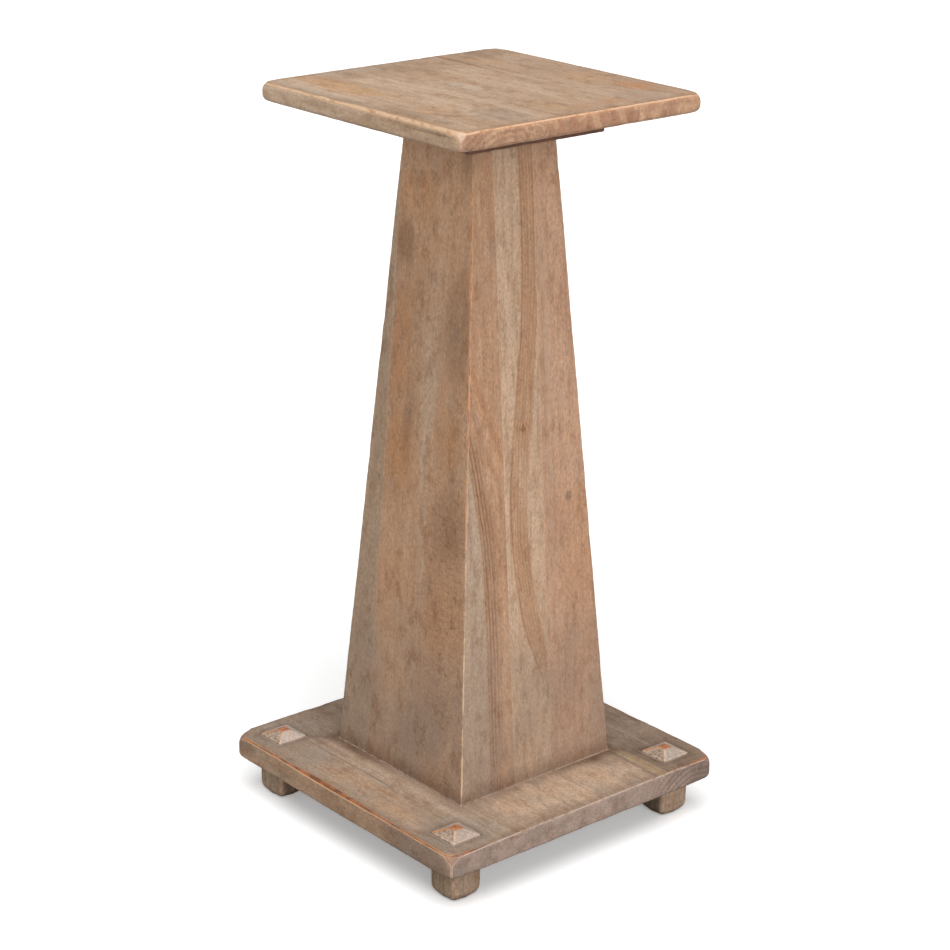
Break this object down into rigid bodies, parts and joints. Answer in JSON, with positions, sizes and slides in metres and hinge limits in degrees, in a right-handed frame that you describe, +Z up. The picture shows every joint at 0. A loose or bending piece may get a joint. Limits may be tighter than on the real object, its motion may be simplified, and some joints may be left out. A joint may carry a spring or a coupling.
{
  "type": "pedestal",
  "caption": "Tapered wooden display pedestal: square top on a mitred tapering column, square base slab with pyramid studs and block feet.",
  "frame": {"origin": "on the floor, under the middle of the square base", "axes": "+Z up; +X to the right, along the grain of the top and base slabs; -Y to the front"},
  "size_m": [0.359, 0.359, 0.762],
  "materials": {
    "top_wood": "grey-washed hardwood, rubbed satin, worn pale at the edges",
    "plate_wood": "darker stained hardwood, matte",
    "column_wood": "grey-washed hardwood strips, rubbed satin, worn pale at the arrises",
    "base_wood": "grey-washed hardwood, rubbed satin, worn orange and pale at the edges",
    "stud_wood": "pale end grain, rubbed, worn orange at the tip",
    "foot_wood": "grey-washed hardwood, matte"
  },
  "bodies": {
    "root": {"top_slab": "top_wood", "under_plate": "plate_wood", "column_board_front": "column_wood", "column_board_right": "column_wood", "column_board_back": "column_wood", "column_board_left": "column_wood", "base_slab": "base_wood", "stud_front_left": "stud_wood", "stud_front_right": "stud_wood", "stud_back_left": "stud_wood", "stud_back_right": "stud_wood", "foot_front_left": "foot_wood", "foot_front_right": "foot_wood", "foot_back_left": "foot_wood", "foot_back_right": "foot_wood"}
  },
  "joints": []
}
